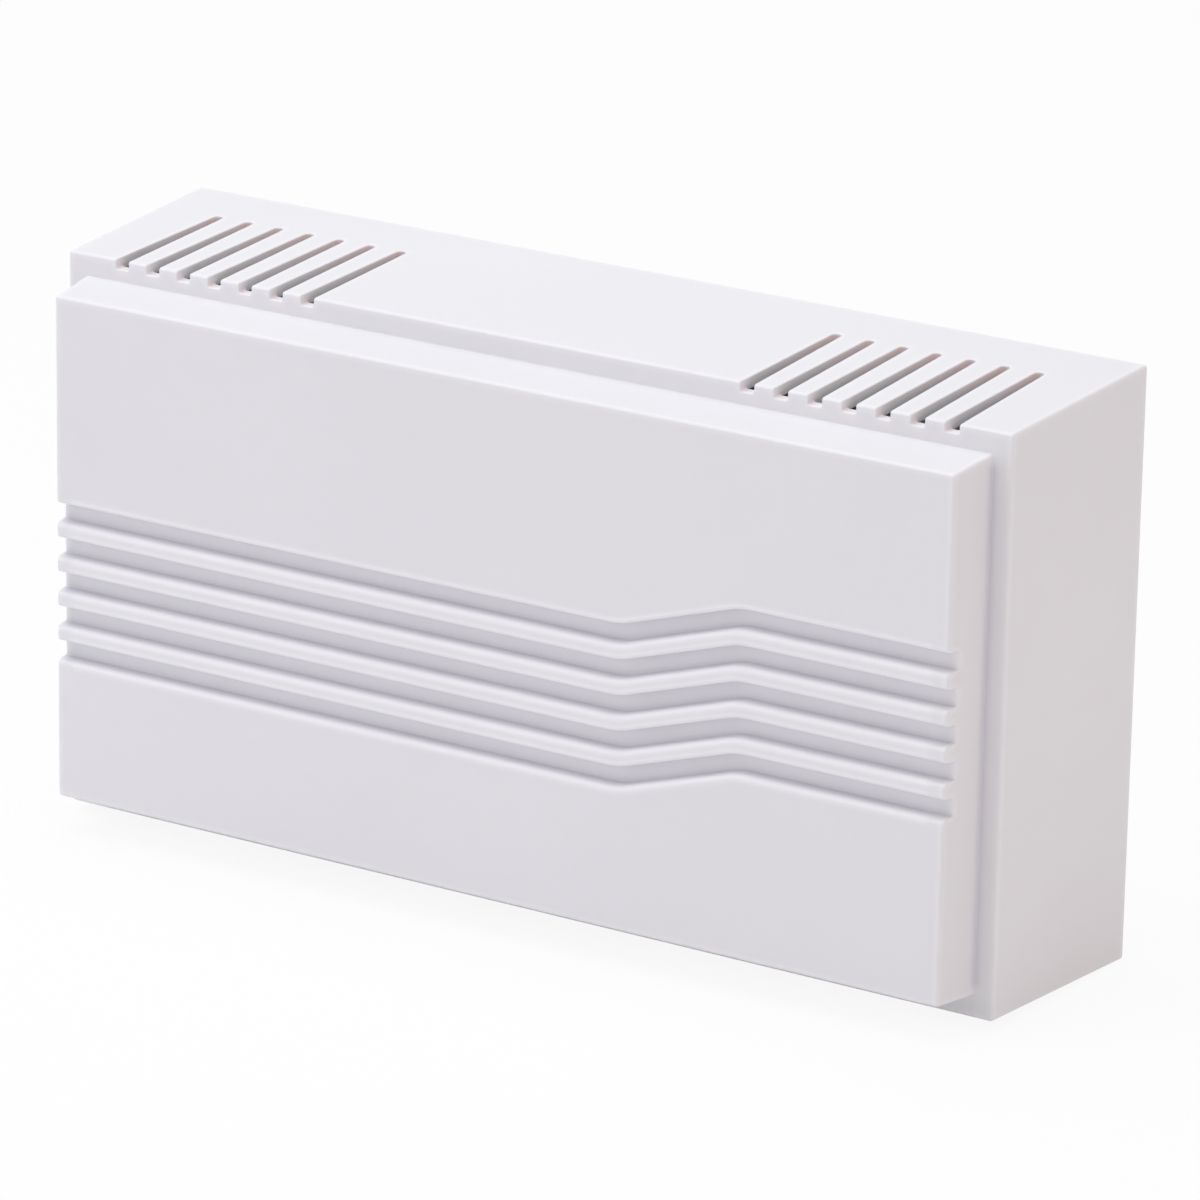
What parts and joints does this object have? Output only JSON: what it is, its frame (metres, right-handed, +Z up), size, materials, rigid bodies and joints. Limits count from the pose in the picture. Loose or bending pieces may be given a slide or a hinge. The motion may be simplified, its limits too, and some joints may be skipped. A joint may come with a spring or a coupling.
{
  "type": "doorbell chime box",
  "caption": "White wall-mounted two-note doorbell chime: a ribbed slide-off cover over a base with solenoid strikers, tone bars and wire terminals.",
  "frame": {"origin": "middle of the flat wall face at the back of the base", "axes": "+X to the right as seen from the room, +Y into the wall, +Z up"},
  "size_m": [0.2, 0.055, 0.11],
  "materials": {
    "cover_plastic": "white satin moulded styrene plastic",
    "base_plastic": "off-white moulded plastic",
    "tone_steel": "rolled and plated steel plate",
    "rubber": "soft black rubber",
    "zinc_steel": "bright zinc-plated steel",
    "yoke_steel": "yellow zinc-plated steel strip",
    "nylon": "natural nylon",
    "copper": "enamelled copper wire",
    "tape": "amber polyester tape",
    "plunger_steel": "ground steel rod",
    "spring_steel": "drawn spring steel",
    "felt": "pressed wool felt",
    "black_plastic": "black moulded phenolic",
    "brass": "stamped brass",
    "lead_sleeve": "varnished sleeve over copper wire"
  },
  "bodies": {
    "base": {"base_plate": "base_plastic", "low_tone_bar": "tone_steel", "high_tone_bar": "tone_steel", "tone_bar_grommets": "rubber", "tone_bar_screws": "zinc_steel", "front_yoke": "yoke_steel", "rear_yoke": "yoke_steel", "yoke_screws": "zinc_steel", "front_bobbin": "nylon", "rear_bobbin": "nylon", "front_winding": "copper", "rear_winding": "copper", "front_winding_tape": "tape", "rear_winding_tape": "tape", "front_spring": "spring_steel", "rear_spring": "spring_steel", "rear_felt_washer": "felt", "terminal_block": "black_plastic", "terminal_block_screws": "zinc_steel", "terminal_plates": "brass", "common_lead": "lead_sleeve", "rear_coil_lead": "lead_sleeve", "front_coil_lead": "lead_sleeve"},
    "cover": {"cover": "cover_plastic"},
    "front_plunger": {"front_plunger": "plunger_steel", "front_left_tip": "nylon", "front_right_tip": "nylon"},
    "rear_plunger": {"rear_plunger": "plunger_steel", "rear_left_tip": "nylon", "rear_right_tip": "nylon", "rear_plunger_clip": "spring_steel"},
    "common_clamp": {"common_terminal_washer": "zinc_steel"},
    "common_screw": {"common_terminal_screw": "zinc_steel"},
    "rear_clamp": {"rear_terminal_washer": "zinc_steel"},
    "rear_screw": {"rear_terminal_screw": "zinc_steel"},
    "front_clamp": {"front_terminal_washer": "zinc_steel"},
    "front_screw": {"front_terminal_screw": "zinc_steel"}
  },
  "joints": [
    {"name": "cover_slide", "type": "slide", "parent": "base", "child": "cover", "axis": [0, -1, 0], "range_m": [0, 0.06]},
    {"name": "front_plunger_slide", "type": "slide", "parent": "base", "child": "front_plunger", "axis": [1, 0, 0], "range_m": [-0.004, 0.008], "stiffness_N_per_m": 60, "deforming": ["front_spring"]},
    {"name": "rear_plunger_slide", "type": "slide", "parent": "base", "child": "rear_plunger", "axis": [1, 0, 0], "range_m": [0, 0.008], "stiffness_N_per_m": 60, "springref_m": -0.002, "deforming": ["rear_spring"]},
    {"name": "common_clamp_lift", "type": "slide", "parent": "base", "child": "common_clamp", "axis": [0, -1, 0], "range_m": [0, 0.0016]},
    {"name": "common_screw_turn", "type": "hinge", "parent": "common_clamp", "child": "common_screw", "pos_m": [0.005, -0.0166, -0.04017], "axis": [0, -1, 0], "range_deg": [0, 720]},
    {"name": "rear_clamp_lift", "type": "slide", "parent": "base", "child": "rear_clamp", "axis": [0, -1, 0], "range_m": [0, 0.0016]},
    {"name": "rear_screw_turn", "type": "hinge", "parent": "rear_clamp", "child": "rear_screw", "pos_m": [0.018, -0.0166, -0.04017], "axis": [0, -1, 0], "range_deg": [0, 720]},
    {"name": "front_clamp_lift", "type": "slide", "parent": "base", "child": "front_clamp", "axis": [0, -1, 0], "range_m": [0, 0.0016]},
    {"name": "front_screw_turn", "type": "hinge", "parent": "front_clamp", "child": "front_screw", "pos_m": [0.031, -0.0166, -0.04017], "axis": [0, -1, 0], "range_deg": [0, 720]}
  ]
}
